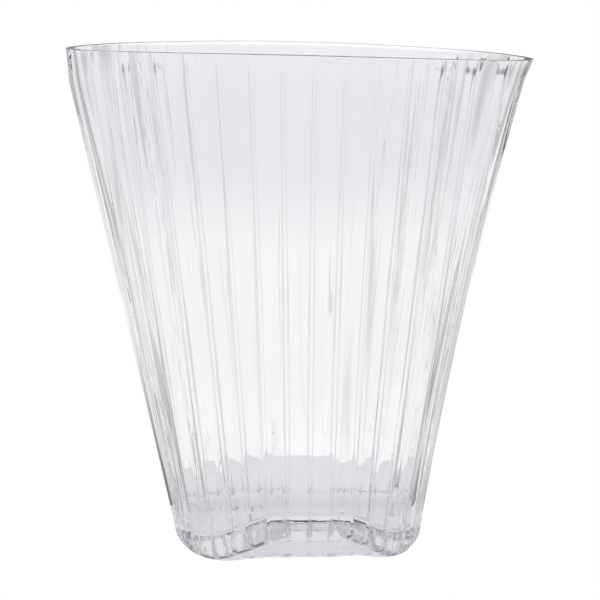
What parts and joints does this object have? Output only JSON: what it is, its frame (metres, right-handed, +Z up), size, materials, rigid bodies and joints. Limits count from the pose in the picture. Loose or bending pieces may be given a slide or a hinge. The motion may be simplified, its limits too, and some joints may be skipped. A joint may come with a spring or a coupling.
{
  "type": "fan vase",
  "caption": "Clear fluted glass fan vase: a thick kidney-shaped foot opens into a wide, shallow half-moon mouth with a plain fire-polished rim, to hold cut flowers.",
  "frame": {"origin": "on the table under the vase, at the middle of its whole width and depth", "axes": "+Z up along the height, +X to the right seen from the front, +Y from the valley side to the back"},
  "size_m": [0.1714, 0.0544, 0.212],
  "materials": {
    "clear_glass": "clear soda-lime glass, mould-blown with vertical flutes, fire-polished gloss"
  },
  "bodies": {
    "root": {"solid_base": "clear_glass", "front_wall": "clear_glass", "back_wall": "clear_glass", "left_wing": "clear_glass", "right_wing": "clear_glass", "rim_band": "clear_glass"}
  },
  "joints": []
}
